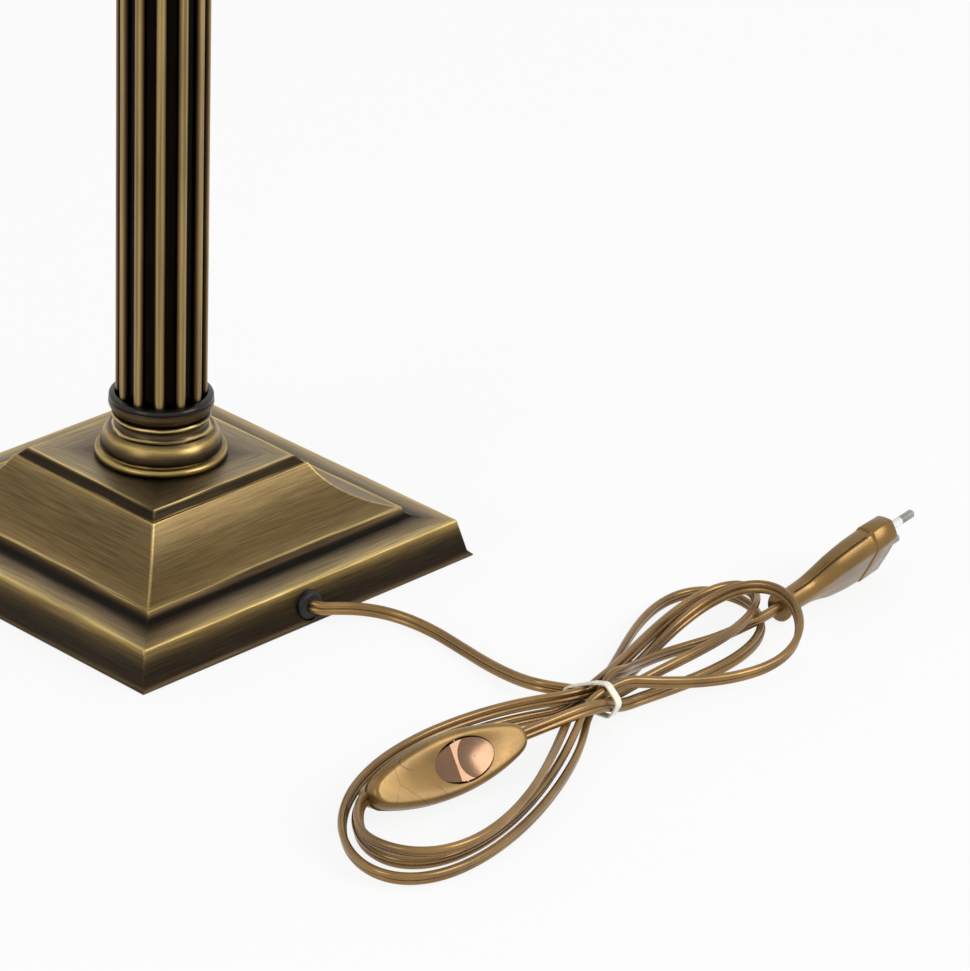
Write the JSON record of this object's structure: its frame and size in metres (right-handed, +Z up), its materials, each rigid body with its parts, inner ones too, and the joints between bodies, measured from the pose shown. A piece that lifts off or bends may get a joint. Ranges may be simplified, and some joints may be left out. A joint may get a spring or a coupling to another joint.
{
  "type": "column table lamp",
  "caption": "Table lamp with a square stepped base, reeded brass column, drum shade, and a tied-up flat lead with inline rocker switch and two-pin plug.",
  "frame": {"origin": "on the table under the middle of the square base", "axes": "+Z up the column, +Y towards the side of the base that the lead leaves"},
  "size_m": [0.4077, 0.468, 0.6537],
  "materials": {
    "antique_brass": "brushed and antiqued, lacquered",
    "black_rim": "gloss black",
    "steel": "plain",
    "felt": "black felt",
    "iron": "rough",
    "rubber": "matt",
    "holder_brass": "satin",
    "ceramic": "glazed white",
    "nickel": "nickel plated",
    "bulb_glass": "frosted",
    "bulb_cap": "plain",
    "black_glass": "opaque",
    "shade_linen": "woven linen on backing",
    "shade_trim": "ribbon",
    "shade_wire": "off-white",
    "gold_cord": "satin gold PVC",
    "gold_switch": "satin gold",
    "rocker_gold": "glossy gold",
    "gold_plug": "satin gold",
    "sleeve_white": "plain",
    "tie_cream": "cream",
    "terminal_brass": "plain",
    "black_clamp": "plain"
  },
  "bodies": {
    "lamp": {"base_casting": "antique_brass", "column_foot": "antique_brass", "column_shaft": "antique_brass", "column_capital": "antique_brass", "abacus": "antique_brass", "neck": "antique_brass", "holder_cap": "antique_brass", "foot_rim": "black_rim", "capital_rim": "black_rim", "base_cover": "steel", "felt_pad": "felt", "base_weight": "iron", "cord_grommet": "rubber", "cord_clamp": "black_clamp", "stem_tube": "steel", "stem_washer": "steel", "stem_nut": "steel", "holder_nut": "steel", "holder_body": "holder_brass", "holder_insert": "ceramic", "screw_shell": "nickel", "centre_contact": "terminal_brass", "terminal_1": "terminal_brass", "terminal_2": "terminal_brass", "switch_cover": "gold_switch", "switch_base": "gold_switch", "rocker_pin": "steel", "switch_screw_1": "steel", "switch_screw_2": "steel", "switch_contact_1": "terminal_brass", "switch_contact_2": "terminal_brass", "plug_body": "gold_plug", "plug_pin_1": "nickel", "plug_pin_2": "nickel", "pin_sleeve_1": "sleeve_white", "pin_sleeve_2": "sleeve_white", "inner_lead": "gold_cord", "cord_lead": "gold_cord", "cord_coil_1": "gold_cord", "cord_coil_2": "gold_cord", "cord_tie": "tie_cream", "cover_screw_1": "steel", "cover_screw_2": "steel", "cover_screw_3": "steel", "cover_screw_4": "steel"},
    "bulb": {"bulb_cap": "bulb_cap", "bulb_insulator": "black_glass", "bulb_contact": "bulb_cap", "bulb_glass": "bulb_glass"},
    "shade": {"shade_fitter": "shade_wire", "shade_skin": "shade_linen", "shade_wire_bottom": "shade_wire", "shade_wire_top": "shade_wire", "shade_trim_bottom": "shade_trim", "shade_trim_top": "shade_trim"},
    "ring": {"shade_ring": "holder_brass"},
    "rocker": {"switch_rocker": "rocker_gold"}
  },
  "joints": [
    {"name": "rocker_turn", "type": "hinge", "parent": "lamp", "child": "rocker", "pos_m": [0.05846, 0.24969, 0.01535], "axis": [-0.0285, -0.5439, 0.8387], "range_deg": [0, 7.5]},
    {"name": "bulb_lift", "type": "slide", "parent": "lamp", "child": "bulb", "axis": [0, 0, 1], "range_m": [0, 0.02]},
    {"name": "ring_lift", "type": "slide", "parent": "lamp", "child": "ring", "axis": [0, 0, 1], "range_m": [0, 0.006]},
    {"name": "shade_turn", "type": "hinge", "parent": "lamp", "child": "shade", "pos_m": [0, 0, 0.4647], "axis": [0, 0, 1], "range_deg": [-180, 180]}
  ]
}
